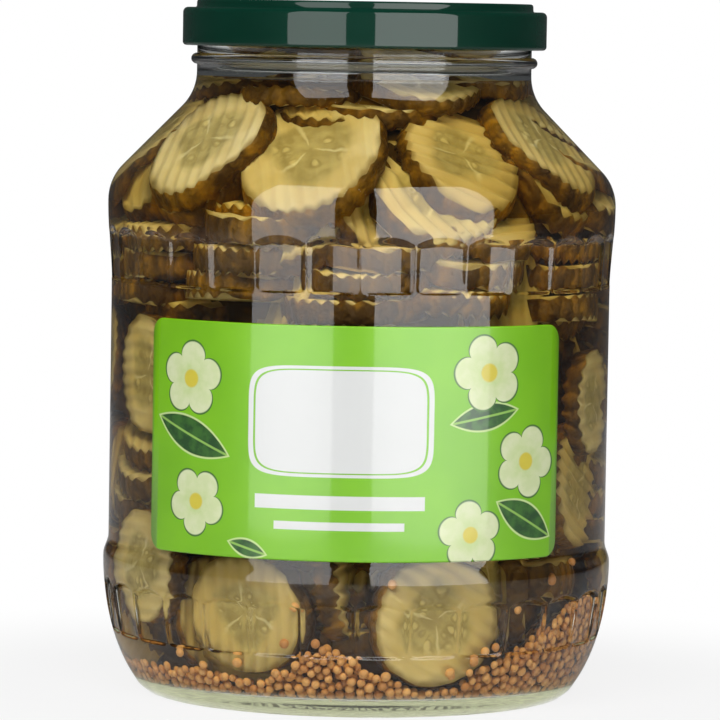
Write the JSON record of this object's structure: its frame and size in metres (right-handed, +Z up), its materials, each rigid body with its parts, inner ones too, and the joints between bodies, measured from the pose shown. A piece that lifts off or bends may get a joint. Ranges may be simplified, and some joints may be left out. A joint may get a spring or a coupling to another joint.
{
  "type": "pickle jar",
  "caption": "Shut glass jar of crinkle-cut cucumber pickle slices in brine with mustard seeds, with a green metal twist lid and a plain green front label.",
  "frame": {"origin": "middle of the flat ring that the jar stands on", "axes": "+Z up along the jar's axis, through the lid; -Y out of the middle of the front, where the label is; +X to the right as the label is read"},
  "size_m": [0.1284, 0.1284, 0.175],
  "materials": {
    "glass": "clear, faintly green, glossy",
    "lid": "dark green gloss lacquer",
    "label": "glossy printed paper, bright green",
    "pickles": "wet cucumber flesh and skin",
    "seeds": "wet mustard seeds"
  },
  "bodies": {
    "root": {"glass_jar": "glass", "lid": "lid", "label": "label", "pickle_slices": "pickles", "mustard_seeds": "seeds"}
  },
  "joints": []
}
